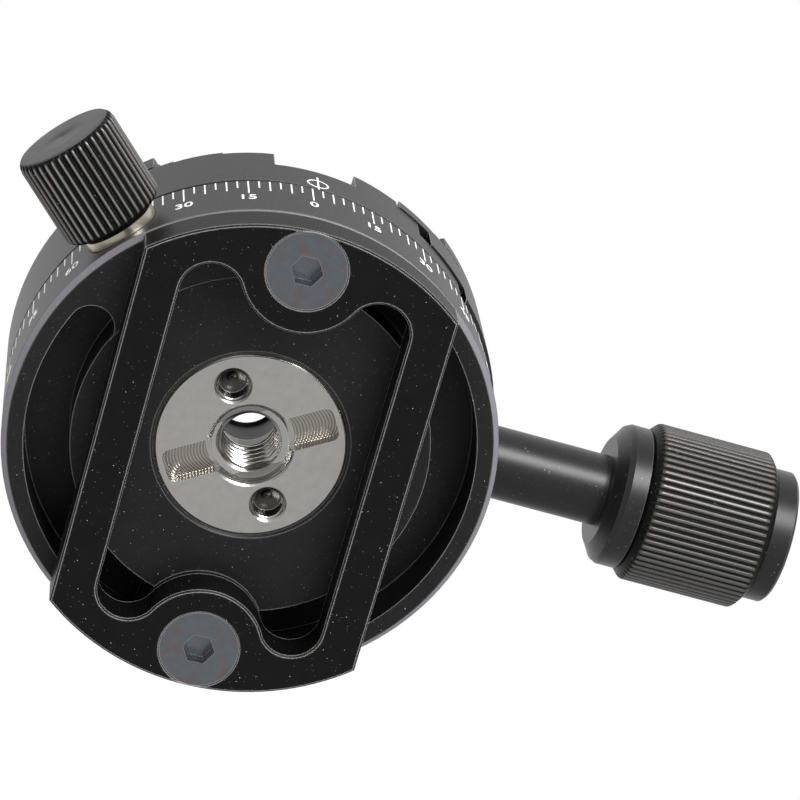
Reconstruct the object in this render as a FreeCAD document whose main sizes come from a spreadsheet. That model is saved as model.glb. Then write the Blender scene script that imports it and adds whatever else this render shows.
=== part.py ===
import FreeCAD, Part
import math
import os
import re
import Sketcher

# Panoramic tripod head with a dovetail clamp, in millimetres, +Z up.
# The pan axis is Z, the foot face lies in z = 0, and the clamp knob points along +X.
# From below: foot frame, base disc with the degree scale, then the turning head with its clamp.

SIZES = {
    # foot frame and the two screws that hold it
    "disc_radius": 35.0,
    "foot_height": 6.0,
    "foot_half_width": 22.25,
    "window_half_width": 16.3,
    "lobe_radius": 4.4,
    "lobe_inset": 12.3,
    "boss_radius": 9.15,
    "foot_screw_inset": 5.85,
    "foot_edge_chamfer": 0.3,
    "foot_screw_radius": 3.0,
    "foot_screw_length": 16.0,
    "foot_head_radius": 5.65,
    "foot_head_sink": 0.15,
    "foot_hex_flats": 4.0,
    "foot_hex_depth": 2.4,
    # base disc
    "base_height": 13.7,
    "base_edge_chamfer": 0.8,
    "top_edge_chamfer": 0.3,
    "island_rise": 1.0,
    "rim_width": 3.15,
    "pocket_width": 6.45,
    "pocket_depth": 8.0,
    "bridge_start": -155.5,
    "bridge_span": 50.0,
    "web_thickness": 3.3,
    "hub_boss_radius": 15.5,
    "hub_boss_height": 7.0,
    # tripod bush
    "hub_flange_radius": 13.7,
    "hub_flange_height": 4.2,
    "hub_shank_radius": 9.0,
    "hub_nose_radius": 8.5,
    "hub_height": 14.4,
    "hub_mouth_radius": 5.95,
    "hub_mouth_depth": 0.3,
    "hub_cone_depth": 2.0,
    "hub_edge_chamfer": 0.4,
    "thread_radius": 4.7625,
    "hub_slot_half_length": 12.5,
    "hub_slot_width": 5.0,
    "hub_slot_depth": 2.2,
    "hub_slot_corner": 1.2,
    "hub_slot_angle": -30.0,
    "hub_hole_circle": 9.3,
    "hub_hole_radius": 2.1,
    "hub_hole_depth": 3.0,
    "hub_hole_mouth": 0.6,
    "hub_hole_angle": 60.0,
    # pivot of the pan axis
    "thrust_washer_height": 0.4,
    "thrust_washer_radius": 22.0,
    "drum_radius": 22.5,
    "drum_height": 4.9,
    "drum_neck_radius": 17.0,
    "drum_bore": 9.3,
    "ring_washer_height": 0.3,
    "ring_height": 3.4,
    "ring_radius": 23.2,
    "split_gap": 0.3,
    "drum_screw_place": 9.5,
    "drum_screw_radius": 1.5,
    "drum_screw_length": 8.0,
    "drum_head_radius": 2.75,
    "drum_head_height": 3.0,
    "drum_hex_flats": 2.5,
    "drum_hex_depth": 1.5,
    "drum_screw_depth": 9.0,
    "drum_screw_play": 0.2,
    "nose_play": 0.8,
    # turning head
    "pan_height": 13.5,
    "groove_half_width": 6.0,
    "groove_depth": 5.5,
    "step_half_width": 13.05,
    "step_drop": 0.5,
    "rebate_depth": 2.7,
    "ledge_x": 16.65,
    "ledge_depth": 7.8,
    "body_edge_x": 24.0,
    "pan_bore": 5.1,
    "pan_bore_mouth": 4.6,
    "pan_bore_mouth_depth": 0.7,
    "nose_recess_depth": 1.8,
    # dovetail jaws
    "jaw_height": 6.5,
    "jaw_edge_round": 1.2,
    "jaw_open": 0.6,
    "lip_half_width": 16.2,
    "lip_lean": 2.5,
    "lip_chamfer": 0.5,
    "plate_half_width": 19.4,
    "slit_rise": 0.4,
    "slit_height": 1.0,
    "slit_x": 24.5,
    "lead_in_inset": 13.4,
    "tongue_gap": 0.35,
    "nose_gap": 1.95,
    "skirt_gap": 1.2,
    "jaw_clearance": 0.2,
    "skirt_rise": 0.3,
    "skirt_chamfer": 1.2,
    "stop_pin_radius": 1.0,
    "stop_pin_inset": 1.3,
    "stop_pin_angle": -128.8,
    "stop_pin_height": 3.2,
    "stop_pin_depth": 4.0,
    # spirit level in the fixed jaw
    "level_inset": 8.8,
    "level_radius": 5.5,
    "level_depth": 4.2,
    "level_wall": 0.7,
    "level_floor": 0.8,
    "level_sink": 0.2,
    # guide pins of the movable jaw
    "guide_y": 15.0,
    "guide_radius": 2.0,
    "guide_drop": 4.95,
    "guide_seat_depth": 8.15,
    "guide_reach": 9.4,
    # clamp screw and its spring
    "clamp_drop": 6.5,
    "clamp_screw_radius": 3.0,
    "groove_wall": 1.0,
    "clamp_tip_gap": 0.5,
    "clamp_head_reach": 0.8,
    "spring_pocket_depth": 2.15,
    "spring_pocket_radius": 3.9,
    "jaw_pocket_depth": 5.4,
    "spring_wire": 0.6,
    "spring_radius": 3.5,
    "spring_turns": 4.0,
    "sleeve_radius": 5.3,
    "sleeve_seat_depth": 1.4,
    "clamp_washer_height": 0.6,
    "clamp_washer_inset": 0.1,
    "sleeve_length": 19.45,
    "sleeve_edge_chamfer": 0.4,
    # clamp knob
    "collar_face_radius": 8.1,
    "collar_cone_radius": 10.2,
    "collar_cone_length": 1.4,
    "collar_edge_length": 0.8,
    "collar_radius": 10.6,
    "collar_length": 4.7,
    "knob_neck_radius": 10.1,
    "knob_neck_length": 0.3,
    "knob_radius": 11.85,
    "knob_length": 19.3,
    "knob_nose_radius": 10.5,
    "knob_nose_length": 1.5,
    "knob_tail_radius": 10.3,
    "knob_tail_length": 1.3,
    "end_cap_radius": 9.9,
    "end_cap_length": 3.4,
    "end_cap_chamfer": 0.4,
    "end_cap_plug_radius": 8.0,
    "end_cap_plug_length": 1.5,
    # pan lock
    "lock_azimuth": 45.5,
    "lock_drop": 6.4,
    "shoe_radius": 2.7,
    "shoe_gap": 0.1,
    "shoe_length": 4.4,
    "shoe_travel": 1.2,
    "lock_screw_radius": 2.5,
    "spot_depth": 0.5,
    "spot_radius": 5.6,
    "lock_bush_radius": 5.35,
    "lock_bush_height": 2.1,
    "lock_bush_chamfer": 0.5,
    "lock_knob_gap": 0.36,
    "lock_knob_radius": 7.5,
    "lock_knob_length": 11.6,
    "lock_knob_chamfer": 0.7,
    "lock_cap_radius": 6.9,
    "lock_cap_length": 1.4,
    "lock_cap_plug_radius": 5.2,
    "lock_cap_plug_length": 2.0,
    "lock_cap_chamfer": 0.5,
    "lock_screw_reach": 8.04,
    # where the head stands at rest, past the zero mark
    "rest_turn": 1.6,
    # fits
    "seat_fit": 0.02,
    "running_fit": 0.05,
    "shaft_clearance": 0.3,
    "axial_play": 0.05,
}

# Heights that follow from the stack of pieces.
ISLAND = "(foot_height + island_rise)"
BASE_TOP = "(foot_height + base_height)"
HUB_BOSS_TOP = f"({ISLAND} + hub_boss_height)"
WEB_TOP = f"({ISLAND} + web_thickness)"
DRUM_FOOT = f"({WEB_TOP} + thrust_washer_height + axial_play)"
DRUM_TOP = f"({DRUM_FOOT} + drum_height)"
RING_FOOT = f"({DRUM_TOP} + ring_washer_height + axial_play)"
PAN_FOOT = f"({BASE_TOP} + split_gap)"
SEAT = f"({PAN_FOOT} + pan_height)"
STEP = f"({SEAT} - step_drop)"
GROOVE = f"({SEAT} - groove_depth)"
REBATE = f"({SEAT} - rebate_depth)"
LEDGE = f"({SEAT} - ledge_depth)"
SLIT_FOOT = f"({SEAT} + slit_rise)"
SLIT_TOP = f"({SLIT_FOOT} + slit_height)"
LEAN_TOP = f"({SLIT_TOP} + lip_lean)"
JAW_TOP = f"({SEAT} + jaw_height)"
CLAMP_AXIS = f"({SEAT} - clamp_drop)"
GUIDE_AXIS = f"({SEAT} - guide_drop)"
LOCK_AXIS = f"({BASE_TOP} - lock_drop)"
DRUM_SCREW_SEAT = f"({SEAT} - drum_screw_depth)"
LEVEL_FLOOR = f"({JAW_TOP} - level_depth)"

# Places that are measured in from the rim.
FOOT_SCREW_Y = "(disc_radius - foot_screw_inset)"
LOBE_Y = "(disc_radius - lobe_inset)"
POCKET_R = "(disc_radius - rim_width)"
ISLAND_R = f"({POCKET_R} - pocket_width)"
STOP_PIN_R = "(disc_radius - stop_pin_inset)"
LEVEL_X = "(disc_radius - level_inset)"
LEAD_IN_Y = "(disc_radius - lead_in_inset)"

# Places along the clamp axis and the lock axis.
HOLE_TIP = "(groove_half_width + groove_wall)"
SPRING_START = "(ledge_x - spring_pocket_depth)"
GUIDE_START = "(ledge_x - guide_seat_depth)"
NOSE_X = "(ledge_x + nose_gap)"
SKIRT_X = "(body_edge_x + skirt_gap)"
SPRING_END = f"({NOSE_X} + jaw_pocket_depth)"
GUIDE_END = f"({NOSE_X} + guide_reach)"
SLEEVE_SEAT = "(disc_radius + jaw_open - sleeve_seat_depth)"
SLEEVE_START = f"({SLEEVE_SEAT} + clamp_washer_height)"
SLEEVE_END = f"({SLEEVE_START} + sleeve_length)"
COLLAR_END = f"({SLEEVE_END} + collar_length)"
KNOB_START = f"({COLLAR_END} + knob_neck_length)"
KNOB_END = f"({KNOB_START} + knob_length)"
CLAMP_TIP = f"({HOLE_TIP} + clamp_tip_gap)"
CLAMP_HEAD = f"({KNOB_END} + clamp_head_reach)"
SHOE_START = "(drum_radius + shoe_gap)"
SHOE_END = f"({SHOE_START} + shoe_length)"
SPOT_PLANE = "(disc_radius - spot_depth)"
LOCK_BUSH_END = f"({SPOT_PLANE} + lock_bush_height)"
LOCK_KNOB_START = f"({LOCK_BUSH_END} + lock_knob_gap)"
LOCK_KNOB_END = f"({LOCK_KNOB_START} + lock_knob_length)"

# Each axis that pieces are built along: its direction and the point where it starts.
AXES = {
    "pan": (("0", "0", "1"), ("0", "0", "0")),
    "clamp": (("1", "0", "0"), ("0", "0", CLAMP_AXIS)),
    "guide": (("1", "0", "0"), ("0", "0", GUIDE_AXIS)),
    "lock": (("-sin(lock_azimuth)", "-cos(lock_azimuth)", "0"), ("0", "0", LOCK_AXIS)),
}

BEYOND = 6.0  # how far a cutter runs past the material that it cuts
PAST = 1.0  # how far a cutter runs past a face that has more material behind it

doc = FreeCAD.newDocument("panoramic_head")
sheet = doc.addObject("Spreadsheet::Sheet", "sizes")
for row, (alias, number) in enumerate(SIZES.items(), start=1):
    sheet.set(f"A{row}", alias)
    sheet.set(f"B{row}", str(number))
    sheet.setAlias(f"B{row}", alias)
doc.recompute()

parts = []


def full(text):
    """The expression with each size named as a cell of the sheet."""
    return re.sub(r"\b([a-z][a-z_0-9]*)\b(?!\()", r"sizes.\1", str(text))


def size(text):
    """The present value of an expression of sizes."""
    return float(probe.evalExpression(full(text)))


def bind(piece, name, text):
    """Tie one property of a piece to an expression of sizes."""
    piece.setExpression(name, full(text))


def place(piece, axis="pan", start="0", shift=("0", "0", "0")):
    """Turn a piece made along +Z onto an axis, then move it along that axis and sideways."""
    direction, foot = AXES[axis]
    heading = FreeCAD.Vector(*[size(text) for text in direction])
    turn = FreeCAD.Rotation(FreeCAD.Vector(0, 0, 1), heading)
    piece.Placement = FreeCAD.Placement(FreeCAD.Vector(), turn)
    for letter, step, origin, extra in zip("xyz", direction, foot, shift):
        bind(piece, f"Placement.Base.{letter}", f"{origin} + ({step}) * ({start}) + {extra}")
    return piece


def cylinder(radius, start, length, axis="pan", shift=("0", "0", "0")):
    """A plain cylinder along one of the axes."""
    piece = doc.addObject("Part::Cylinder", "cylinder")
    bind(piece, "Radius", radius)
    bind(piece, "Height", length)
    return place(piece, axis, start, shift)


def cone(radius_a, radius_b, start, length, axis="pan", shift=("0", "0", "0")):
    """A truncated cone along one of the axes."""
    piece = doc.addObject("Part::Cone", "cone")
    bind(piece, "Radius1", radius_a)
    bind(piece, "Radius2", radius_b)
    bind(piece, "Height", length)
    return place(piece, axis, start, shift)


def block(low, high):
    """A box between two corners."""
    piece = doc.addObject("Part::Box", "block")
    for name, letter, a, b in zip(("Length", "Width", "Height"), "xyz", low, high):
        bind(piece, name, f"({b}) - ({a})")
        bind(piece, f"Placement.Base.{letter}", a)
    return piece


def hexagon(flats, start, length, shift):
    """A hexagonal socket that runs along Z."""
    piece = doc.addObject("Part::Prism", "hexagon")
    piece.Polygon = 6
    bind(piece, "Circumradius", f"({flats}) / sqrt(3)")
    bind(piece, "Height", length)
    return place(piece, "pan", start, shift)


def fuse(*pieces):
    """The union of the pieces."""
    whole = doc.addObject("Part::MultiFuse", "union")
    whole.Shapes = list(pieces)
    whole.Refine = True
    return whole


def cut(base, *tools):
    """The base without the tools."""
    left = doc.addObject("Part::Cut", "remainder")
    left.Base = base
    left.Tool = fuse(*tools) if len(tools) > 1 else tools[0]
    left.Refine = True
    return left


def common(first, second):
    """What two pieces share."""
    shared = doc.addObject("Part::Common", "overlap")
    shared.Base = first
    shared.Tool = second
    return shared


def draw(sketch, corners):
    """Draw a closed outline whose corners are pairs of expressions."""
    count = len(corners)
    points = [FreeCAD.Vector(size(across), size(along), 0) for across, along in corners]
    for index in range(count):
        sketch.addGeometry(Part.LineSegment(points[index], points[(index + 1) % count]))
    for index in range(count):
        sketch.addConstraint(Sketcher.Constraint("Coincident", index, 2, (index + 1) % count, 1))
    for index, corner in enumerate(corners):
        for kind, text, axis_line in zip(("DistanceX", "DistanceY"), corner, (-2, -1)):
            if text == "0":
                sketch.addConstraint(Sketcher.Constraint("PointOnObject", index, 1, axis_line))
            else:
                rule = Sketcher.Constraint(kind, index, 1, size(text))
                number = sketch.addConstraint(rule)
                bind(sketch, f"Constraints[{number}]", text)


def turned(label, corners, axis="pan"):
    """A turned body: an outline of radius against place along the axis, spun once round."""
    body = doc.addObject("PartDesign::Body", label)
    sketch = body.newObject("Sketcher::SketchObject", f"{label}_outline")
    planes = {feature.Role: feature for feature in body.Origin.OriginFeatures}
    sketch.AttachmentSupport = [(planes["XZ_Plane"], "")]
    sketch.MapMode = "FlatFace"
    draw(sketch, corners)
    spin = body.newObject("PartDesign::Revolution", f"{label}_spin")
    spin.Profile = sketch
    spin.ReferenceAxis = (sketch, ["V_Axis"])
    spin.Angle = 360
    sketch.Visibility = False
    place(body, axis)
    return body


def extruded(corners, plane, start, length):
    """A straight prism over an outline in the XY or the XZ plane."""
    sketch = doc.addObject("Sketcher::SketchObject", "section")
    draw(sketch, corners)
    prism = doc.addObject("Part::Extrusion", "prism")
    prism.Base = sketch
    prism.DirMode = "Normal"
    prism.Solid = True
    bind(prism, "LengthFwd", length)
    if plane == "XZ":
        upright = FreeCAD.Rotation(FreeCAD.Vector(1, 0, 0), 90)
        sketch.Placement = FreeCAD.Placement(FreeCAD.Vector(), upright)
        bind(sketch, "Placement.Base.y", f"-({start})")
    else:
        bind(sketch, "Placement.Base.z", start)
    return prism


def bevel(piece, kind, amount, wanted):
    """Chamfer or round the edges that a test picks."""
    doc.recompute()
    softened = doc.addObject(f"Part::{kind}", "softened")
    softened.Base = piece
    value = size(amount)
    numbers = [at for at, edge in enumerate(piece.Shape.Edges, start=1) if wanted(edge)]
    softened.Edges = [(number, value, value) for number in numbers]
    return softened


def keep(label, shape):
    """Name a finished sub-part."""
    shape.Label = label
    parts.append(shape)
    return shape


def keep_on_base(label, shape):
    """Name a finished sub-part of the base, turned so that the head stands past the zero mark."""
    shape.Label = f"{label}_unturned"
    turned_back = doc.addObject("Part::Compound", "turned_back")
    turned_back.Links = [shape]
    turned_back.Placement.Rotation = FreeCAD.Rotation(FreeCAD.Vector(0, 0, -1), 1)
    bind(turned_back, "Placement.Rotation.Angle", "rest_turn")
    return keep(label, turned_back)


def both_ends(text):
    """The place of something and of its twin across the XZ plane."""
    return (text, f"-({text})")


def foot_frame():
    """Flat frame under the head, milled open round the tripod thread."""
    outside = common(
        cylinder("disc_radius", "0", "foot_height"),
        block(("-foot_half_width", "-disc_radius", "0"), ("foot_half_width", "disc_radius", "foot_height")),
    )
    low, tall = f"-{BEYOND}", f"foot_height + 2 * {BEYOND}"
    lobe_x = "window_half_width - lobe_radius"
    window = [
        block(("-window_half_width", f"-{LOBE_Y}", low), ("window_half_width", LOBE_Y, f"{low} + {tall}"))
    ]
    for sign in ("", "-"):
        corners = [
            (f"-({lobe_x})", f"{sign}({LOBE_Y})"),
            (lobe_x, f"{sign}({LOBE_Y})"),
            ("0", f"{sign}({FOOT_SCREW_Y})"),
        ]
        window.append(extruded(corners, "XY", low, tall))
        for lobe in (f"-({lobe_x})", lobe_x):
            window.append(cylinder("lobe_radius", low, tall, "pan", (lobe, f"{sign}({LOBE_Y})", "0")))
    bosses = [cylinder("boss_radius", low, tall, "pan", ("0", y, "0")) for y in both_ends(FOOT_SCREW_Y)]
    frame = cut(outside, cut(fuse(*window), *bosses))
    frame = bevel(frame, "Chamfer", "foot_edge_chamfer", lambda edge: edge.BoundBox.ZMax < 0.001)
    holes = []
    wide = "(foot_head_radius + foot_head_sink)"
    narrow = "(foot_screw_radius + shaft_clearance)"
    for y in both_ends(FOOT_SCREW_Y):
        holes.append(cylinder(narrow, low, tall, "pan", ("0", y, "0")))
        holes.append(cone(wide, narrow, "0", f"{wide} - {narrow}", "pan", ("0", y, "0")))
    keep_on_base("foot_frame", cut(frame, *holes))


def foot_screws():
    """Two countersunk screws with hexagon sockets, one at each end of the frame."""
    screws = []
    for y in both_ends(FOOT_SCREW_Y):
        shift = ("0", y, "0")
        shank_length = "foot_screw_length - foot_head_sink"
        shank = cylinder("foot_screw_radius", "foot_head_sink", shank_length, "pan", shift)
        head_depth = "foot_head_radius - foot_screw_radius"
        head = cone("foot_head_radius", "foot_screw_radius", "foot_head_sink", head_depth, "pan", shift)
        socket = hexagon("foot_hex_flats", "0", "foot_head_sink + foot_hex_depth", shift)
        screws.append(cut(fuse(shank, head), socket))
    pair = doc.addObject("Part::Compound", "pair")
    pair.Links = screws
    keep_on_base("foot_screws", pair)


def kidney_pockets():
    """The two curved pockets between island and rim, cut off by the screw bosses and the lock bridge."""
    low = f"foot_height - {BEYOND}"
    tall = f"pocket_depth + {BEYOND}"
    ring = cut(cylinder(POCKET_R, low, tall), cylinder(ISLAND_R, low, tall))
    bridge = cylinder(f"{POCKET_R} + {BEYOND}", low, tall)
    bind(bridge, "Angle", "bridge_span")
    bridge.Placement.Rotation = FreeCAD.Rotation(FreeCAD.Vector(0, 0, 1), size("bridge_start"))
    bosses = [cylinder("boss_radius", low, tall, "pan", ("0", y, "0")) for y in both_ends(FOOT_SCREW_Y)]
    middle = f"({POCKET_R} + {ISLAND_R}) / 2"
    x = f"{middle} * cos(bridge_start)"
    y = f"{middle} * sin(bridge_start)"
    round_end = cylinder(f"({POCKET_R} - {ISLAND_R}) / 2", low, tall, "pan", (x, y, "0"))
    return fuse(cut(ring, bridge, *bosses), round_end)


def base_disc():
    """Turned base: scale wall outside, recess for the pivot drum above, pockets below."""
    bore = "(hub_shank_radius + seat_fit)"
    seat = "(hub_flange_radius + seat_fit)"
    recess = "(drum_radius + running_fit)"
    ring = "(ring_radius + seat_fit)"
    flange_top = f"{ISLAND} + hub_flange_height"
    corners = [
        (bore, flange_top),
        (seat, flange_top),
        (seat, f"{ISLAND} + hub_edge_chamfer"),
        (f"{seat} + hub_edge_chamfer", ISLAND),
        (ISLAND_R, ISLAND),
        (ISLAND_R, "foot_height"),
        ("disc_radius - base_edge_chamfer", "foot_height"),
        ("disc_radius", "foot_height + base_edge_chamfer"),
        ("disc_radius", f"{BASE_TOP} - top_edge_chamfer"),
        ("disc_radius - top_edge_chamfer", BASE_TOP),
        (ring, BASE_TOP),
        (ring, RING_FOOT),
        (recess, RING_FOOT),
        (recess, WEB_TOP),
        ("hub_boss_radius", WEB_TOP),
        ("hub_boss_radius", HUB_BOSS_TOP),
        (bore, HUB_BOSS_TOP),
    ]
    disc = turned("base_blank", corners)
    bosses = [
        common(
            cylinder("boss_radius", "foot_height", "island_rise", "pan", ("0", y, "0")),
            cylinder("disc_radius - base_edge_chamfer", "foot_height", "island_rise"),
        )
        for y in both_ends(FOOT_SCREW_Y)
    ]
    hub_room = cylinder(f"{seat} + hub_edge_chamfer", "foot_height", "island_rise")
    blank = fuse(disc, *[cut(boss, hub_room) for boss in bosses])
    cuts = [kidney_pockets()]
    for y in both_ends(FOOT_SCREW_Y):
        depth = f"foot_screw_length - foot_height + shaft_clearance + {BEYOND}"
        shift = ("0", y, "0")
        cuts.append(cylinder("foot_screw_radius + seat_fit", f"foot_height - {BEYOND}", depth, "pan", shift))
    shoe_start = f"drum_radius - {PAST}"
    shoe_room = f"{SHOE_END} + shoe_travel - ({shoe_start})"
    cuts.append(cylinder("shoe_radius + running_fit", shoe_start, shoe_room, "lock"))
    screw_room = f"disc_radius + {BEYOND} - {SHOE_END}"
    cuts.append(cylinder("lock_screw_radius + running_fit", SHOE_END, screw_room, "lock"))
    cuts.append(cylinder("spot_radius", SPOT_PLANE, BEYOND, "lock"))
    keep_on_base("base_disc", cut(blank, *cuts))


def tripod_bush():
    """Stainless bush with the tripod thread, a driver slot and two tapped blind holes."""
    corners = [
        ("hub_mouth_radius + hub_mouth_depth", ISLAND),
        ("hub_flange_radius - hub_edge_chamfer", ISLAND),
        ("hub_flange_radius", f"{ISLAND} + hub_edge_chamfer"),
        ("hub_flange_radius", f"{ISLAND} + hub_flange_height"),
        ("hub_shank_radius", f"{ISLAND} + hub_flange_height"),
        ("hub_shank_radius", HUB_BOSS_TOP),
        ("hub_nose_radius", HUB_BOSS_TOP),
        ("hub_nose_radius", f"{ISLAND} + hub_height"),
        ("thread_radius", f"{ISLAND} + hub_height"),
        ("thread_radius", f"{ISLAND} + hub_mouth_depth + hub_cone_depth"),
        ("hub_mouth_radius", f"{ISLAND} + hub_mouth_depth"),
    ]
    bush = turned("bush_blank", corners)
    cuts = []
    for turn in ("hub_hole_angle", "hub_hole_angle + 180"):
        shift = (f"hub_hole_circle * cos({turn})", f"hub_hole_circle * sin({turn})", "0")
        mouth = "hub_hole_radius + hub_hole_mouth"
        cuts.append(cylinder("hub_hole_radius", ISLAND, "hub_hole_depth", "pan", shift))
        cuts.append(cone(mouth, "hub_hole_radius", ISLAND, "hub_hole_mouth", "pan", shift))
        point_start = f"{ISLAND} + hub_hole_depth"
        cuts.append(cone("hub_hole_radius", "0", point_start, "hub_hole_radius / 2", "pan", shift))
    half_length, half_width = "hub_slot_half_length", "hub_slot_width / 2"
    along, across = "cos(hub_slot_angle)", "sin(hub_slot_angle)"
    corners = [
        (
            f"{end} * {half_length} * {along} - {side} * {half_width} * {across}",
            f"{end} * {half_length} * {across} + {side} * {half_width} * {along}",
        )
        for end, side in ((-1, -1), (1, -1), (1, 1), (-1, 1))
    ]
    slot = extruded(corners, "XY", f"{ISLAND} - {BEYOND}", f"hub_slot_depth + {BEYOND}")
    slot = bevel(slot, "Fillet", "hub_slot_corner", lambda edge: edge.BoundBox.ZLength > 1.0)
    keep_on_base("tripod_bush", cut(bush, *cuts, slot))


def ring_piece(label, inner, outer, foot, height, axis="pan"):
    """A flat ring of square section."""
    corners = [(inner, foot), (outer, foot), (outer, f"{foot} + {height}"), (inner, f"{foot} + {height}")]
    return keep(label, turned(label, corners, axis))


def pivot_pieces():
    """The drum that turns with the head, the ring that holds it down, and its two washers."""
    inner = "hub_boss_radius + shaft_clearance"
    shelf = f"{HUB_BOSS_TOP} + shaft_clearance"
    corners = [
        (inner, DRUM_FOOT),
        ("drum_radius", DRUM_FOOT),
        ("drum_radius", DRUM_TOP),
        ("drum_neck_radius", DRUM_TOP),
        ("drum_neck_radius", PAN_FOOT),
        ("drum_bore", PAN_FOOT),
        ("drum_bore", shelf),
        (inner, shelf),
    ]
    drum = turned("drum_blank", corners)
    depth = "drum_screw_length + shaft_clearance"
    start = f"{DRUM_SCREW_SEAT} - ({depth})"
    holes = [cylinder("drum_screw_radius + seat_fit", start, depth, "pan", s) for s in drum_screw_places()]
    keep("pivot_drum", cut(drum, *holes))
    ring_piece("lower_thrust_washer", inner, "thrust_washer_radius", WEB_TOP, "thrust_washer_height")
    neck_room = "drum_neck_radius + shaft_clearance"
    washer_foot = DRUM_TOP
    ring_piece("upper_thrust_washer", neck_room, "thrust_washer_radius", washer_foot, "ring_washer_height")
    ring_piece("retaining_ring", neck_room, "ring_radius", RING_FOOT, "ring_height")


def drum_screw_places():
    """The four corners of the square on which the drum screws stand."""
    signs = ("", "-")
    return [(f"{a}drum_screw_place", f"{b}drum_screw_place", "0") for a in signs for b in signs]


def drum_screws():
    """Four cap screws that pull the drum up against the head."""
    screws = []
    for shift in drum_screw_places():
        start = f"{DRUM_SCREW_SEAT} - drum_screw_length"
        shank = cylinder("drum_screw_radius", start, "drum_screw_length", "pan", shift)
        head = cylinder("drum_head_radius", DRUM_SCREW_SEAT, "drum_head_height", "pan", shift)
        socket_foot = f"{DRUM_SCREW_SEAT} + drum_head_height - drum_hex_depth"
        socket = hexagon("drum_hex_flats", socket_foot, f"drum_hex_depth + {PAST}", shift)
        screws.append(cut(fuse(shank, head), socket))
    group = doc.addObject("Part::Compound", "four")
    group.Links = screws
    keep("drum_screws", group)


def jaw_section(sign, offset):
    """The dovetail side of a jaw, from the seat up to its top face."""
    return [
        (f"{sign}(plate_half_width + {offset})", SEAT),
        (f"{sign}(plate_half_width + {offset})", SLIT_FOOT),
        (f"{sign}(slit_x + {offset})", SLIT_FOOT),
        (f"{sign}(slit_x + {offset})", SLIT_TOP),
        (f"{sign}(lip_half_width + lip_lean + {offset})", SLIT_TOP),
        (f"{sign}(lip_half_width + {offset})", LEAN_TOP),
        (f"{sign}(lip_half_width + {offset})", f"{JAW_TOP} - lip_chamfer"),
        (f"{sign}(lip_half_width + lip_chamfer + {offset})", JAW_TOP),
    ]


def round_envelope(foot, offset, bottom_chamfer):
    """The outer cylinder of the head, rounded at its top and chamfered at its foot."""
    rim = cylinder("disc_radius", foot, f"{JAW_TOP} - {foot}", "pan", (offset, "0", "0"))
    top, low = size(JAW_TOP), size(foot)
    rim = bevel(rim, "Fillet", "jaw_edge_round", lambda edge: edge.BoundBox.ZMin > top - 0.001)
    return bevel(rim, "Chamfer", bottom_chamfer, lambda edge: edge.BoundBox.ZMax < low + 0.001)


def lead_ins(sign, offset):
    """The two slanting cuts that open the mouth of the dovetail at a jaw's ends."""
    prisms = []
    near = f"lip_half_width + {offset} - {BEYOND}"
    for end in ("", "-"):
        corners = [
            (f"{sign}({near})", f"{end}({LEAD_IN_Y} - {BEYOND})"),
            (f"{sign}({near} + disc_radius)", f"{end}({LEAD_IN_Y} - {BEYOND} + disc_radius)"),
            (f"{sign}({near})", f"{end}({LEAD_IN_Y} - {BEYOND} + disc_radius)"),
        ]
        prisms.append(extruded(corners, "XY", SLIT_FOOT, f"jaw_height + {BEYOND}"))
    return prisms


def pan_body():
    """Turning head: one section along Y with the fixed jaw on its -X side, inside the round outline."""
    edge = f"disc_radius + {BEYOND}"
    section = [
        (f"-({edge})", f"{PAN_FOOT}"),
        ("body_edge_x", PAN_FOOT),
        ("body_edge_x", LEDGE),
        ("ledge_x", LEDGE),
        ("ledge_x", REBATE),
        ("step_half_width", REBATE),
        ("step_half_width", STEP),
        ("groove_half_width", STEP),
        ("groove_half_width", GROOVE),
        ("-groove_half_width", GROOVE),
        ("-groove_half_width", STEP),
        ("-step_half_width", STEP),
        ("-step_half_width", SEAT),
        *jaw_section("-", "0"),
        (f"-({edge})", JAW_TOP),
    ]
    bar = extruded(section, "XZ", f"-({edge})", f"2 * ({edge})")
    blank = common(bar, round_envelope(PAN_FOOT, "0", "top_edge_chamfer"))
    cuts = lead_ins("-", "0")
    cuts.append(cylinder("hub_nose_radius + nose_play", f"{PAN_FOOT} - {BEYOND}", f"nose_recess_depth + {BEYOND}"))
    bore_top = f"{GROOVE} - pan_bore_mouth_depth"
    cuts.append(cylinder("pan_bore", PAN_FOOT, f"{bore_top} - {PAN_FOOT}"))
    cuts.append(cone("pan_bore", "pan_bore_mouth", bore_top, "pan_bore_mouth_depth"))
    for shift in drum_screw_places():
        cuts.append(cylinder("drum_screw_radius + drum_screw_play", f"{PAN_FOOT} - {BEYOND}", "pan_height", "pan", shift))
        cuts.append(cylinder("drum_head_radius + drum_screw_play", DRUM_SCREW_SEAT, f"drum_screw_depth + {BEYOND}", "pan", shift))
    thread_length = f"{SKIRT_X} - {HOLE_TIP}"
    cuts.append(cylinder("clamp_screw_radius + running_fit", HOLE_TIP, thread_length, "clamp"))
    spring_room = f"{SKIRT_X} - {SPRING_START}"
    cuts.append(cylinder("spring_pocket_radius", SPRING_START, spring_room, "clamp"))
    for y in both_ends("guide_y"):
        length = f"{NOSE_X} - {GUIDE_START}"
        cuts.append(cylinder("guide_radius + seat_fit", GUIDE_START, length, "guide", ("0", y, "0")))
    cuts.append(stop_pin("seat_fit", "stop_pin_height"))
    level_room = f"level_depth + {BEYOND}"
    level_hole = cylinder("level_radius + seat_fit", LEVEL_FLOOR, level_room, "pan", (f"-{LEVEL_X}", "0", "0"))
    keep("pan_body", cut(blank, *cuts, level_hole))


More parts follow.
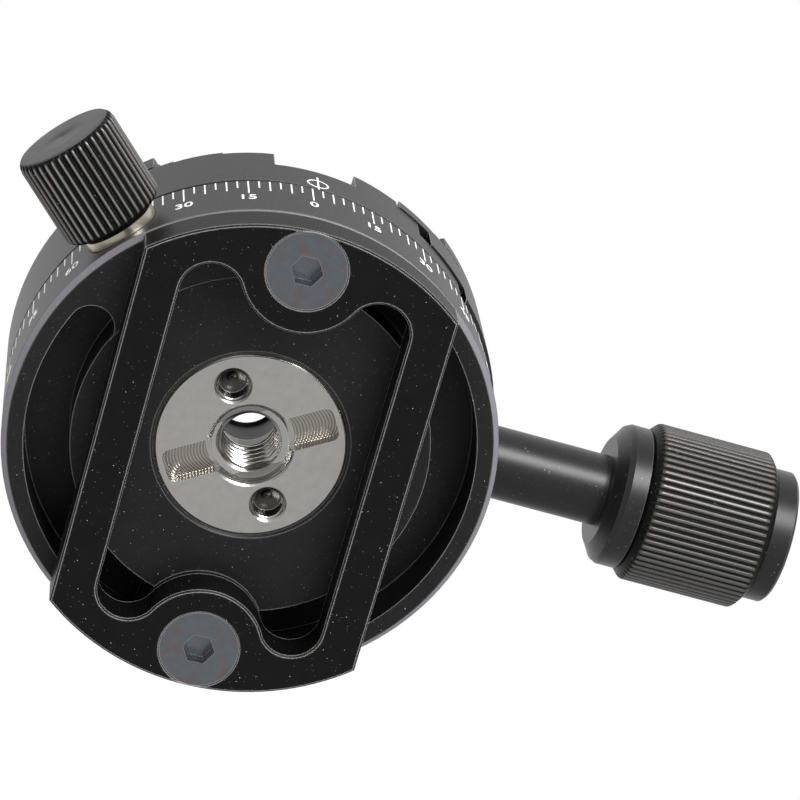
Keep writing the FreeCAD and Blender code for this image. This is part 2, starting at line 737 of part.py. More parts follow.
def stop_pin(fit, above):
    """The pin that keeps a plate from sliding out, or its hole."""
    shift = (f"{STOP_PIN_R} * cos(stop_pin_angle)", f"{STOP_PIN_R} * sin(stop_pin_angle)", "0")
    start = f"{SEAT} - stop_pin_depth"
    return cylinder(f"stop_pin_radius + {fit}", start, f"stop_pin_depth + {above}", "pan", shift)


def level():
    """Round spirit level: a cup pressed into the fixed jaw and the glass in it."""
    shift = (f"-{LEVEL_X}", "0", "0")
    height = "level_depth - level_sink"
    cup = cylinder("level_radius", LEVEL_FLOOR, height, "pan", shift)
    inside = "level_radius - level_wall"
    hollow = cylinder(inside, f"{LEVEL_FLOOR} + level_floor", "level_depth", "pan", shift)
    keep("level_cup", cut(cup, hollow))
    glass_height = f"{height} - level_floor - level_sink"
    glass = cylinder(f"{inside} - seat_fit", f"{LEVEL_FLOOR} + level_floor", glass_height, "pan", shift)
    keep("level_glass", glass)


def movable_jaw():
    """Movable jaw: dovetail lip above, tongue over the head's rebate, skirt down its side."""
    edge = f"disc_radius + {BEYOND}"
    foot = f"({PAN_FOOT} + skirt_rise)"
    under = f"({LEDGE} + jaw_clearance)"
    tongue = f"({REBATE} + jaw_clearance)"
    section = [
        (SKIRT_X, foot),
        (SKIRT_X, under),
        (NOSE_X, under),
        (NOSE_X, tongue),
        ("step_half_width + tongue_gap", tongue),
        ("step_half_width + tongue_gap", SEAT),
        *jaw_section("", "jaw_open"),
        (edge, JAW_TOP),
        (edge, foot),
    ]
    bar = extruded(section, "XZ", f"-({edge})", f"2 * ({edge})")
    blank = common(bar, round_envelope(foot, "jaw_open", "skirt_chamfer"))
    cuts = lead_ins("", "jaw_open")
    through = f"{edge} - {NOSE_X}"
    cuts.append(cylinder("clamp_screw_radius + shaft_clearance", NOSE_X, through, "clamp"))
    cuts.append(cylinder("spring_pocket_radius", f"{NOSE_X} - {PAST}", f"jaw_pocket_depth + {PAST}", "clamp"))
    cuts.append(cylinder("sleeve_radius + running_fit", SLEEVE_SEAT, BEYOND, "clamp"))
    for y in both_ends("guide_y"):
        length = f"{GUIDE_END} - {NOSE_X} + 2 * {PAST}"
        cuts.append(cylinder("guide_radius + running_fit", f"{NOSE_X} - {PAST}", length, "guide", ("0", y, "0")))
    keep("movable_jaw", cut(blank, *cuts))


def guide_pins():
    """Two dowels fixed in the head on which the movable jaw slides."""
    length = f"{GUIDE_END} - {GUIDE_START}"
    pins = [
        cylinder("guide_radius", GUIDE_START, length, "guide", ("0", y, "0"))
        for y in both_ends("guide_y")
    ]
    pair = doc.addObject("Part::Compound", "pins")
    pair.Links = pins
    keep("guide_pins", pair)


def arc_from(start, heading, end):
    """The arc that leaves a point along a heading and ends at another point."""
    length = (end - start).Length
    along = (end - start) / length
    bend = math.acos(max(-1.0, min(1.0, heading.dot(along))))
    side = (heading - along * heading.dot(along)).normalize()
    middle = (start + end) * 0.5 + side * (length / 2 * math.tan(bend / 2))
    return Part.Arc(start, middle, end).toShape()


def biarc(start, heading, end, last_heading):
    """Two tangent arcs between two points with given headings."""
    step = end - start
    both = heading + last_heading
    spread = 2 * (1 - heading.dot(last_heading))
    reach = (-step.dot(both) + math.sqrt(step.dot(both) ** 2 + spread * step.dot(step))) / spread
    joint = (start + end) * 0.5 + (heading - last_heading) * (reach / 2)
    back = arc_from(end, last_heading * -1.0, joint)
    back.reverse()
    return [arc_from(start, heading, joint), back]


def jaw_spring():
    """Coil spring round the clamp screw that pushes the jaw open."""
    wire = size("spring_wire")
    radius = size("spring_radius")
    turns = size("spring_turns")
    room = size(SPRING_END) - size(SPRING_START)
    rise = (room - wire - 2 * size("seat_fit")) / turns
    slope = rise / (2 * math.pi * radius)
    quarter = math.pi / 2

    def point(angle):
        height = wire / 2 + size("seat_fit") + rise * angle / (2 * math.pi)
        return FreeCAD.Vector(radius * math.cos(angle), radius * math.sin(angle), height)

    def heading(angle):
        return FreeCAD.Vector(-math.sin(angle), math.cos(angle), slope).normalize()

    edges = []
    for number in range(int(round(turns * 4))):
        a, b = number * quarter, (number + 1) * quarter
        edges += biarc(point(a), heading(a), point(b), heading(b))
    path = Part.Wire(edges)
    section = Part.Wire(Part.Circle(point(0), heading(0), wire / 2).toShape())
    spring = doc.addObject("Part::Feature", "coil")
    spring.Shape = path.makePipeShell([section], True, False)
    place(spring, "clamp", SPRING_START)
    print(f"jaw_spring: least gap between turns {rise - wire:.2f} mm")
    keep("jaw_spring", spring)


def clamp_shaft():
    """Clamp screw, the sleeve over it and the washer that bears on the jaw."""
    screw_length = f"{CLAMP_HEAD} - {CLAMP_TIP}"
    keep("clamp_screw", cylinder("clamp_screw_radius", CLAMP_TIP, screw_length, "clamp"))
    bore = "clamp_screw_radius + seat_fit"
    ring_piece("clamp_washer", bore, "sleeve_radius - clamp_washer_inset", SLEEVE_SEAT, "clamp_washer_height", "clamp")
    start = f"({SLEEVE_SEAT} + clamp_washer_height)"
    corners = [
        (bore, start),
        ("sleeve_radius - sleeve_edge_chamfer", start),
        ("sleeve_radius", f"{start} + sleeve_edge_chamfer"),
        ("sleeve_radius", SLEEVE_END),
        (bore, SLEEVE_END),
    ]
    keep("clamp_sleeve", turned("clamp_sleeve", corners, "clamp"))


def clamp_knob():
    """Clamp knob in three pieces: collar, gripped barrel and end cap."""
    bore = "clamp_screw_radius + seat_fit"
    collar = [
        (bore, SLEEVE_END),
        ("collar_face_radius", SLEEVE_END),
        ("collar_cone_radius", f"{SLEEVE_END} + collar_cone_length"),
        ("collar_radius", f"{SLEEVE_END} + collar_cone_length + collar_edge_length"),
        ("collar_radius", COLLAR_END),
        (bore, COLLAR_END),
    ]
    keep("knob_collar", turned("knob_collar", collar, "clamp"))
    plug = "end_cap_plug_radius + seat_fit"
    plug_floor = f"{KNOB_END} - end_cap_plug_length"
    barrel = [
        (bore, COLLAR_END),
        ("knob_neck_radius", COLLAR_END),
        ("knob_neck_radius", KNOB_START),
        ("knob_nose_radius", KNOB_START),
        ("knob_radius", f"{KNOB_START} + knob_nose_length"),
        ("knob_radius", f"{KNOB_END} - knob_tail_length"),
        ("knob_tail_radius", KNOB_END),
        (plug, KNOB_END),
        (plug, plug_floor),
        (bore, plug_floor),
    ]
    keep("clamp_knob", turned("clamp_knob", barrel, "clamp"))
    screw_room = f"{CLAMP_HEAD} + seat_fit"
    cap_end = f"{KNOB_END} + end_cap_length"
    cap = [
        ("0", screw_room),
        (bore, screw_room),
        (bore, plug_floor),
        ("end_cap_plug_radius", plug_floor),
        ("end_cap_plug_radius", KNOB_END),
        ("end_cap_radius", KNOB_END),
        ("end_cap_radius", f"{cap_end} - end_cap_chamfer"),
        ("end_cap_radius - end_cap_chamfer", cap_end),
        ("0", cap_end),
    ]
    keep("knob_end_cap", turned("knob_end_cap", cap, "clamp"))


def lock_pieces():
    """Pan lock: brake shoe, screw, bush on the base, fluted knob and its cap."""
    keep_on_base("brake_shoe", cylinder("shoe_radius", SHOE_START, "shoe_length", "lock"))
    screw_length = f"{LOCK_KNOB_START} + lock_screw_reach - {SHOE_END}"
    keep_on_base("lock_screw", cylinder("lock_screw_radius", SHOE_END, screw_length, "lock"))
    bush = [
        ("lock_screw_radius + shaft_clearance", SPOT_PLANE),
        ("lock_bush_radius", SPOT_PLANE),
        ("lock_bush_radius", f"{LOCK_BUSH_END} - lock_bush_chamfer"),
        ("lock_bush_radius - lock_bush_chamfer", LOCK_BUSH_END),
        ("lock_screw_radius + shaft_clearance", LOCK_BUSH_END),
    ]
    keep_on_base("lock_bush", turned("lock_bush", bush, "lock"))
    bore = "lock_screw_radius + seat_fit"
    plug = "lock_cap_plug_radius + seat_fit"
    plug_floor = f"{LOCK_KNOB_END} - lock_cap_plug_length"
    knob = [
        (bore, LOCK_KNOB_START),
        ("lock_knob_radius - lock_knob_chamfer", LOCK_KNOB_START),
        ("lock_knob_radius", f"{LOCK_KNOB_START} + lock_knob_chamfer"),
        ("lock_knob_radius", f"{LOCK_KNOB_END} - lock_knob_chamfer"),
        ("lock_knob_radius - lock_knob_chamfer", LOCK_KNOB_END),
        (plug, LOCK_KNOB_END),
        (plug, plug_floor),
        (bore, plug_floor),
    ]
    keep_on_base("lock_knob", turned("lock_knob", knob, "lock"))
    cap_end = f"{LOCK_KNOB_END} + lock_cap_length"
    cap = [
        ("0", plug_floor),
        ("lock_cap_plug_radius", plug_floor),
        ("lock_cap_plug_radius", LOCK_KNOB_END),
        ("lock_cap_radius", LOCK_KNOB_END),
        ("lock_cap_radius", f"{cap_end} - lock_cap_chamfer"),
        ("lock_cap_radius - lock_cap_chamfer", cap_end),
        ("0", cap_end),
    ]
    keep_on_base("lock_knob_cap", turned("lock_knob_cap", cap, "lock"))


def write_parts():
    """Check every object of the document, then write each sub-part to its own file."""
    doc.recompute()
    for thing in doc.Objects:
        if {"Invalid", "Error"} & set(thing.State):
            raise RuntimeError(f"{thing.Label}: {thing.State}")
    os.makedirs("parts", exist_ok=True)
    for piece in parts:
        shape = piece.Shape
        if shape.isNull() or not shape.isValid() or not shape.Solids:
            raise RuntimeError(f"{piece.Label}: bad shape")
        shape.exportStep(f"parts/{piece.Label}.step")
        print(f"{piece.Label}: {len(shape.Solids)} solid(s), {shape.Volume:.1f} mm3")


probe = doc.addObject("App::FeaturePython", "probe")
foot_frame()
foot_screws()
base_disc()
tripod_bush()
pivot_pieces()
drum_screws()
pan_body()
keep("plate_stop_pin", stop_pin("0", "stop_pin_height"))
level()
movable_jaw()
guide_pins()
jaw_spring()
clamp_shaft()
clamp_knob()
lock_pieces()
write_parts()
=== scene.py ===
# %% [markdown]
# This lesson dresses a panoramic tripod head, a small turning base that a camera plate clamps onto.
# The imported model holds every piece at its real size, so nothing here moves or resizes a piece.
# The work is the finish: black anodised aluminium, a stainless bush, knurled knobs and a white scale.

# %% Load the frame
import math
import bpy
import numpy as np
from mathutils import Matrix, Vector


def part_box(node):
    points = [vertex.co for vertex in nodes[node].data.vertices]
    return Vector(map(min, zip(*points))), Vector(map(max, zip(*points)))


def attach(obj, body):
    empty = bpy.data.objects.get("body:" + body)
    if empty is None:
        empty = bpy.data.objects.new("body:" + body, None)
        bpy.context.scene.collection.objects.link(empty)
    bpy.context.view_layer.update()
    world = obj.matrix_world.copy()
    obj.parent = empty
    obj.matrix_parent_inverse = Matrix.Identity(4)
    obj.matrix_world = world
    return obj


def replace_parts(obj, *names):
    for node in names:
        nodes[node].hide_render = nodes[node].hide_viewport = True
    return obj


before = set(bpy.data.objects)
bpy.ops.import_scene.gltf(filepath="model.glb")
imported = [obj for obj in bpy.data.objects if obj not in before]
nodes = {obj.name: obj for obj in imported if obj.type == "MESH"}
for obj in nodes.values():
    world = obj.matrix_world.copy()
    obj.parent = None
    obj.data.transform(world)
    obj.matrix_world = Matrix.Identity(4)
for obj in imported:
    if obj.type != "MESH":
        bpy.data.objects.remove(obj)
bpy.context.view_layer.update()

MM = 0.001
print("CAD nodes:", len(nodes))

# %% [markdown]
# Shader maths reads best as plain arithmetic. Nodes could be made and linked one by one, but a formula of
# ten nodes is then lost in the calls. One small class holds an output socket instead, and turns Python's
# operators into Math nodes.

# %% Sockets as arithmetic
class Wire:
    """An output socket whose arithmetic adds Math nodes to its tree."""

    def __init__(self, finish, socket):
        self.finish = finish
        self.socket = socket

    def maths(self, operation, first, second=0.0):
        return self.finish.node("ShaderNodeMath", {"operation": operation}, {0: first, 1: second})

    def __add__(self, other):
        return self.maths("ADD", self, other)

    def __sub__(self, other):
        return self.maths("SUBTRACT", self, other)

    def __rsub__(self, other):
        return self.maths("SUBTRACT", other, self)

    def __mul__(self, other):
        return self.maths("MULTIPLY", self, other)

    def __pow__(self, other):
        return self.maths("POWER", self, other)

    __radd__ = __add__
    __rmul__ = __mul__

    def sine(self):
        return self.maths("SINE", self)

    def absolute(self):
        return self.maths("ABSOLUTE", self)

    def above(self, level):
        return self.maths("GREATER_THAN", self, level)

    def larger(self, other):
        return self.maths("MAXIMUM", self, other)

    def spread(self, low, high, bottom=0.0, top=1.0):
        """The value scaled so that low becomes the bottom and high the top, and held between them."""
        return self.finish.node("ShaderNodeMapRange", {}, {0: self, 1: low, 2: high, 3: bottom, 4: top})

    def waves(self, length):
        """A sine wave of the value from 0 to 1, with one wave in each length."""
        return (self * (math.tau / length)).sine() * 0.5 + 0.5


print("wire class ready")

# %% [markdown]
# A finish is a node tree. All finishes share a few patterns: clouds, round dots, worn edges and a bump, so
# these are written once as methods, above one method that makes any node. The patterns could read UV maps,
# but CAD pieces have none. They read Object coordinates in millimetres instead, so a pattern has its real
# size and stays on its piece when a joint moves.

# %% A finish under construction
EDGE_SAMPLES = 6
EDGE_STARTS, EDGE_FULL = 0.01, 0.12
DOT_CORE = 0.6


class Finish:
    """A node tree under construction, on a new material or on the world."""

    def __init__(self, owner):
        self.owner = owner
        owner.use_nodes = True
        self.tree = owner.node_tree
        self.tree.nodes.clear()

    def node(self, kind, settings=None, sockets=None, output=0):
        """Add one node: its settings first, then the values or links of its sockets."""
        made = self.tree.nodes.new(kind)
        for name, value in (settings or {}).items():
            setattr(made, name, value)
        for key, value in (sockets or {}).items():
            if isinstance(value, Wire):
                self.tree.links.new(value.socket, made.inputs[key])
            else:
                made.inputs[key].default_value = value
        return Wire(self, made.outputs[output]) if made.outputs else None

    def place(self):
        """Object coordinates, in millimetres."""
        raw = self.node("ShaderNodeTexCoord", output="Object")
        return self.node("ShaderNodeVectorMath", {"operation": "SCALE"}, {0: raw, "Scale": 1 / MM})

    def split(self, where):
        """The X, Y and Z of a place."""
        return [self.node("ShaderNodeSeparateXYZ", {}, {0: where}, letter) for letter in "XYZ"]

    def noise(self, where, scale, detail=2.0, roughness=0.5):
        """A cloudy value from 0 to 1 whose blobs are about 1 / scale millimetres wide."""
        sockets = {"Vector": where, "Scale": scale, "Detail": detail, "Roughness": roughness}
        return self.node("ShaderNodeTexNoise", {}, sockets)

    def dots(self, where, scale, size, sparse):
        """1 in small round dots: near the cell points of a random share of Voronoi cells."""
        sockets = {"Vector": where, "Scale": scale}
        distance = self.node("ShaderNodeTexVoronoi", {}, sockets, "Distance")
        chosen = self.node("ShaderNodeTexVoronoi", {}, sockets, "Color").above(sparse)
        return (1.0 - distance.spread(size * scale * DOT_CORE, size * scale)) * chosen

    def mix(self, factor, first, second):
        """A blend of two colours, each a wire or its red, green and blue."""
        first, second = (c if isinstance(c, Wire) else (*c, 1.0) for c in (first, second))
        settings = {"data_type": "RGBA"}
        return self.node("ShaderNodeMix", settings, {0: factor, 6: first, 7: second}, output=2)

    def bump(self, height, distance, strength=1.0):
        """A surface normal raised by a height value, by at most a distance in millimetres."""
        sockets = {"Height": height, "Distance": distance * MM, "Strength": strength}
        return self.node("ShaderNodeBump", {}, sockets)

    def edges(self, radius):
        """Near 1 on edges within a radius in millimetres, and 0 on open faces.

        It is 1 minus the dot product of the true normal and one that is rounded over the radius.
        """
        soft = self.node("ShaderNodeBevel", {"samples": EDGE_SAMPLES}, {"Radius": radius * MM})
        true = self.node("ShaderNodeNewGeometry", output="Normal")
        dot = self.node("ShaderNodeVectorMath", {"operation": "DOT_PRODUCT"}, {0: soft, 1: true}, "Value")
        return (1.0 - dot).spread(EDGE_STARTS, EDGE_FULL)

    def done(self, **sockets):
        """Close the material with a Principled shader and return it."""
        named = {}
        for name, value in sockets.items():
            named[name.replace("_", " ").title().replace("Ior", "IOR")] = value
        shader = self.node("ShaderNodeBsdfPrincipled", {}, named)
        self.node("ShaderNodeOutputMaterial", {}, {"Surface": shader})
        return self.owner


def new_finish(name):
    """A finish on a new material."""
    return Finish(bpy.data.materials.new(name))


def shade(colour, factor):
    """A colour made darker or lighter by a factor."""
    return tuple(factor * c for c in colour)


print("finish class ready")

# %% [markdown]
# The large aluminium parts are bead blasted and anodised black. Close up such a surface is not even:
# pale specks of dust and bare metal sit on it. Every machined edge is painted as a thin lighter line, a
# painted highlight that is partly wear. A plain dark colour would look like plastic. Noise gives the grain,
# Voronoi cells give the specks, and a Bevel node finds the edges without any change to the mesh. Seen at a
# slant the walls turn grey by themselves, because even a black surface reflects at a grazing angle.

# %% Black anodised aluminium
EDGE_GREY = (0.34, 0.33, 0.315)
SPECK_GREY = (0.42, 0.41, 0.39)
DUST_GREY = (0.30, 0.29, 0.28)
RIM_GREY = (0.15, 0.145, 0.16)
RIM_INNER_R, RIM_HIGH = 34.24, 6.76


def black_anodised(name, dark, rough, shine, edge_wear_and_highlight, edge=EDGE_GREY, crest_sheen_and_wear=None, rim=False):
    """Near-black satin metal: clouds, grain, lighter edges, specks and fine dust.

    The edges are painted lighter: a painted highlight that is partly wear. On a knob the mesh attribute
    crest mixes in a paler grey on the ridges: partly wear, partly painted highlight. On the base disc the
    chamfer at the wall's foot, which lies outside one radius and below one height, is painted a lighter
    grey: partly wear, partly painted highlight.
    """
    f = new_finish(name)
    where = f.place()
    cloud = f.noise(where, scale=0.35, detail=3.0)
    grain = f.noise(where, scale=3.5, detail=3.0, roughness=0.7)
    speck = f.dots(where, scale=1.0, size=0.075, sparse=0.42)
    dust = f.dots(where, scale=2.1, size=0.055, sparse=0.5)
    base = f.mix(cloud, shade(dark, 0.7), shade(dark, 1.3))
    # The edges are painted lighter: a painted highlight that is partly wear.
    base = f.mix(f.edges(0.30) * edge_wear_and_highlight, base, edge)
    metal = 0.0
    if crest_sheen_and_wear:
        crest = f.node("ShaderNodeAttribute", {"attribute_name": "crest"}, {}, "Fac")
        # Ridge crests are painted paler and made partly metallic: partly wear, partly painted highlight.
        base = f.mix(crest * (0.55 + 0.6 * grain), base, crest_sheen_and_wear)
        metal = crest * 0.8
    if rim:
        x, y, z = f.split(where)
        # The chamfer at the wall's foot is painted a lighter grey: partly wear, partly painted highlight.
        on_rim = ((x * x + y * y) ** 0.5).above(RIM_INNER_R) * (1.0 - z.above(RIM_HIGH))
        rim_sheen_and_wear = 0.6 + 0.8 * f.noise(where, scale=5.0, roughness=0.7)
        base = f.mix(on_rim * rim_sheen_and_wear, base, RIM_GREY)
    base = f.mix(speck * 0.8, base, SPECK_GREY)
    base = f.mix(dust * 0.5, base, DUST_GREY)
    return f.done(
        base_color=base,
        metallic=metal,
        roughness=rough + 0.08 * (grain - 0.5) + 0.1 * speck,
        specular_ior_level=shine,
        normal=f.bump(grain, 0.010, 0.5),
    )


print("black finish ready")

# %% [markdown]
# No two black parts of the head are quite alike. The disc is satin, the frame under it is duller, the sleeve
# is the shiniest, and the knobs are painted pale along their ridges: partly wear, partly painted highlight.
# Six separate materials would repeat the same nodes, so one function makes them all, and only the numbers
# that differ are given.

# %% The black finishes
FRAME_DARK, BODY_DARK = (0.004, 0.004, 0.0045), (0.007, 0.007, 0.0075)
KNOB_DARK, SLEEVE_DARK = (0.004, 0.0039, 0.0038), (0.006, 0.0058, 0.0057)
CAP_DARK, CAP_EDGE_SHADE = (0.055, 0.055, 0.057), (0.008, 0.008, 0.008)
# The crest greys are partly wear, partly painted highlight.
CLAMP_CREST_SHEEN_AND_WEAR, LOCK_CREST_SHEEN_AND_WEAR = (0.155, 0.151, 0.144), (0.30, 0.292, 0.28)

body_black = black_anodised("body_black", BODY_DARK, rough=0.40, shine=0.30, edge_wear_and_highlight=0.4, rim=True)
frame_black = black_anodised("frame_black", FRAME_DARK, rough=0.42, shine=0.12, edge_wear_and_highlight=1.0)
knob_black = black_anodised("knob_black", KNOB_DARK, 0.38, 0.12, edge_wear_and_highlight=0.1, crest_sheen_and_wear=CLAMP_CREST_SHEEN_AND_WEAR)
lock_black = black_anodised("lock_black", KNOB_DARK, 0.36, 0.12, edge_wear_and_highlight=0.1, crest_sheen_and_wear=LOCK_CREST_SHEEN_AND_WEAR)
satin_black = black_anodised("satin_black", SLEEVE_DARK, rough=0.36, shine=0.55, edge_wear_and_highlight=0.12)
# The cap's edges are painted dark: painted shade on its rounded rim.
cap_grey = black_anodised("cap_grey", CAP_DARK, rough=0.50, shine=0.3, edge_wear_and_highlight=1.0, edge=CAP_EDGE_SHADE)
print("black finishes made")

# %% [markdown]
# Washers, screws and shafts are turned or plated, and a lathe leaves fine rings about the axis. Rings could
# be cut into the mesh, but they are far finer than its faces, so a sine wave of the distance from the axis
# feeds a bump. The plated screws of the foot also have brownish stains.

# %% Turned and plated metals
# The edge colour is a painted highlight that is partly wear.
EDGE_SHEEN_AND_WEAR = (0.85, 0.84, 0.82)


def turned_metal(name, colour, rough, ring_step, ring_depth, along="Z", stain=None):
    """Bright metal with fine turning rings, lighter edges and an optional stain.

    The rings are a sine wave of the distance from the frame's own axis, one wave in each ring step. The
    lighter edges are a painted highlight that is partly wear.
    """
    f = new_finish(name)
    where = f.place()
    first, second = (part for part, letter in zip(f.split(where), "XYZ") if letter != along)
    rings = ((first * first + second * second) ** 0.5).waves(ring_step)
    cloud = f.noise(where, scale=0.8, detail=3.0)
    grain = f.noise(where, scale=9.0, roughness=0.6)
    base = f.mix(cloud, shade(colour, 0.82), colour)
    if stain:
        blot = f.noise(where, scale=0.45).spread(0.50, 0.70)
        base = f.mix(blot * 0.6, base, stain)
    return f.done(
        # The edges are painted lighter: a painted highlight that is partly wear.
        base_color=f.mix(f.edges(0.15) * 0.7, base, EDGE_SHEEN_AND_WEAR),
        metallic=1.0,
        roughness=rough + 0.12 * (cloud - 0.5) + 0.06 * (grain - 0.5),
        normal=f.bump(rings * 0.7 + grain * 0.3, ring_depth, 0.5),
    )


ZINC, STAIN = (0.27, 0.295, 0.33), (0.30, 0.20, 0.17)
shaft_steel = turned_metal("shaft_steel", (0.58, 0.57, 0.55), 0.28, 0.35, 0.004, along="X")
zinc = turned_metal("zinc", ZINC, 0.28, 0.5, 0.003, stain=STAIN)
raw_aluminium = turned_metal("raw_aluminium", (0.72, 0.72, 0.73), 0.34, 0.3, 0.004)
brass = turned_metal("brass", (0.78, 0.72, 0.60), 0.24, 0.3, 0.004)
oxide_steel = turned_metal("oxide_steel", (0.06, 0.06, 0.065), 0.35, 0.4, 0.003)
print("turned metals made")

# %% [markdown]
# The tripod bush is the bright heart of the head: stainless steel with a turned face, a driver slot that
# shows the ripples of its cutter, and two tapped blind holes. Three meshes of tool marks would cost many
# faces. One material finds each region from its place instead, and gives it its own waves and its own
# painted shade: the slot, the bore above the thread and the depths of the blind holes are painted darker.
# Its edges are painted lighter, as a painted highlight.

# %% Stainless steel of the bush
BUSH_FACE = 7.0
SLOT_ANGLE = -31.6
SLOT_HALF_WIDTH = 2.5
MOUTH_CLEAR_R = 6.3
HOLES_FROM = 4.0
BORE_R, THREAD_TOP = 6.0, 18.5
RIPPLE_STEP, RIPPLE_CURVE = 0.46, 0.18
GROOVE_STEP, RING_STEP = 0.42, 0.3
STEEL_LOW, STEEL_HIGH, STEEL_GRAIN = (0.66, 0.645, 0.61), (0.84, 0.82, 0.78), (0.40, 0.39, 0.37)
# The edge colour is a painted highlight; the slot, bore and hole colours are painted shade.
STEEL_EDGE_HIGHLIGHT, SLOT_SHADE_BROWN = (0.95, 0.94, 0.92), (0.26, 0.215, 0.165)
BORE_SHADE, HOLE_SHADE = (0.03, 0.025, 0.022), (0.035, 0.03, 0.025)


def bush_steel():
    """Stainless steel of the bush: a turned face, ripples in the slot and grooves in the blind holes.

    A region is a product of masks of the place: how far below the face, along and across the slot, and
    from the axis. The ripples bend by the square of the distance across the slot, as a cutter's do. The slot
    and its ripples, the bore above the thread and the depths of the blind holes are darkened as painted
    shade, and the edges are lightened as a painted highlight.
    """
    f = new_finish("bush_steel")
    where = f.place()
    x, y, z = f.split(where)
    turn = math.radians(SLOT_ANGLE)
    along = (x * math.cos(turn) + y * math.sin(turn)).absolute()
    across = (y * math.cos(turn) - x * math.sin(turn)).absolute()
    radius = (x * x + y * y) ** 0.5
    sunk = z.above(BUSH_FACE + 0.12)
    in_slot = sunk * (1.0 - across.above(SLOT_HALF_WIDTH + 0.1)) * radius.above(MOUTH_CLEAR_R)
    in_hole = sunk * across.above(HOLES_FROM)
    # Deeper in the blind holes the colour grows darker: painted shade.
    deep_shade = in_hole * z.spread(BUSH_FACE + 0.4, BUSH_FACE + 2.2)
    above_thread = z.above(THREAD_TOP) * (1.0 - radius.above(BORE_R))
    ripple = (along + across * across * RIPPLE_CURVE).waves(RIPPLE_STEP)
    cloud = f.noise(where, scale=0.7, detail=3.0)
    grain = f.noise(where, scale=7.0, detail=3.0, roughness=0.65)
    base = f.mix(cloud, STEEL_LOW, STEEL_HIGH)
    # The slot is painted dark brown, darkest in the ripples' troughs: painted shade of the recessed slot.
    base = f.mix(in_slot * (0.22 + 0.6 * (1.0 - ripple)), base, SLOT_SHADE_BROWN)
    # The bore above the thread is painted near black: painted shade deep in the bore.
    base = f.mix(above_thread * 0.9, base, BORE_SHADE)
    base = f.mix(deep_shade * 0.95, base, HOLE_SHADE)
    base = f.mix(grain.spread(0.35, 0.65) * 0.22, base, STEEL_GRAIN)
    # The edges are painted lighter: a painted highlight.
    base = f.mix(f.edges(0.16) * 0.9, base, STEEL_EDGE_HIGHLIGHT)
    face = (1.0 - sunk) * (radius.waves(RING_STEP) * 0.04 + grain * 0.10)
    height = face + in_slot * ripple + in_hole * z.waves(GROOVE_STEP) * 0.4
    rough = 0.30 + 0.10 * (grain - 0.5) - 0.08 * sunk
    return f.done(base_color=base, metallic=1.0, roughness=rough, normal=f.bump(height, 0.045, 0.8))


stainless = bush_steel()
print("bush steel made")

# %% [markdown]
# The scale's white paint, the plastic thrust washers and the level's green vial are the only things here
# that aren't metal. A flat colour could do for each, but nothing real is quite even, so one function adds a
# faint cloud to its colour, roughness and surface. The vial also lets a little light through.

# %% Paint, plastic and the level's vial
BLOTCH = 0.06


def plain_finish(name, colour, rough, **extra):
    """A non-metal with slight unevenness in its colour, roughness and surface."""
    f = new_finish(name)
    cloud = f.noise(f.place(), scale=4.0, detail=3.0)
    base = f.mix(cloud, shade(colour, 1 - BLOTCH), colour)
    uneven = rough + 0.1 * (cloud - 0.5)
    return f.done(base_color=base, roughness=uneven, normal=f.bump(cloud, 0.002), **extra)


scale_white = plain_finish("scale_white", (0.86, 0.86, 0.84), 0.55)
bearing_plastic = plain_finish("bearing_plastic", (0.62, 0.58, 0.48), 0.45)
vial_green = plain_finish("vial_green", (0.45, 0.75, 0.12), 0.08, alpha=0.85)
print("plain finishes made")

# %% [markdown]
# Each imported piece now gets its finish. The list runs from finish to pieces, because a real workshop also
# sorts them so: everything that goes into one anodising bath comes out alike.

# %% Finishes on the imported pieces
FINISHES = {
    frame_black: ["foot_frame"],
    body_black: ["base_disc", "pan_body", "movable_jaw"],
    stainless: ["tripod_bush"],
    zinc: ["foot_screws"],
    raw_aluminium: ["retaining_ring", "pivot_drum", "level_cup"],
    bearing_plastic: ["lower_thrust_washer", "upper_thrust_washer"],
    oxide_steel: ["drum_screws"],
    shaft_steel: ["clamp_screw", "clamp_washer", "guide_pins", "jaw_spring", "lock_screw"],
    knob_black: ["clamp_knob", "lock_knob"],
    satin_black: ["clamp_sleeve", "knob_collar", "knob_end_cap", "plate_stop_pin"],
    cap_grey: ["lock_knob_cap"],
    brass: ["lock_bush", "brake_shoe"],
    vial_green: ["level_glass"],
}
for material, names in FINISHES.items():
    for name in names:
        nodes[name].data.materials.clear()
        nodes[name].data.materials.append(material)
print("finished nodes:", sum(len(names) for names in FINISHES.values()))

# %% [markdown]
# New surfaces are grids. A mesh could be built vertex by vertex, but that is slow and hides the shape. Here a
# function of two parameters gives all points at once, and the quads follow from the grid's rows and columns.

# %% Grid surfaces
def outward(points, faces):
    """The faces of a closed shell, turned so that the volume they enclose is positive.

    The volume is a sixth of the sum, over the triangle fans, of the triple product of their corners.
    """
    a, b, c, d = (points[faces[:, k]] for k in range(4))
    volume = np.sum(a * (np.cross(b, c) + np.cross(c, d)))
    return faces if volume > 0 else faces[:, ::-1]


def add_mesh(name, points, faces, material, body, slot, smooth=True, crest=None):
    """A mesh object from point and face arrays, with its finish and body. The slot is not used."""
    points = points.reshape(-1, 3)
    mesh = bpy.data.meshes.new(name)
    mesh.from_pydata(points.tolist(), [], outward(points, faces).tolist())
    mesh.materials.append(material)
    mesh.polygons.foreach_set("use_smooth", np.full(len(mesh.polygons), smooth))
    if crest is not None:
        mesh.attributes.new("crest", "FLOAT", "POINT").data.foreach_set("value", crest.reshape(-1))
    piece = bpy.data.objects.new(name, mesh)
    bpy.context.scene.collection.objects.link(piece)
    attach(piece, body)
    return piece


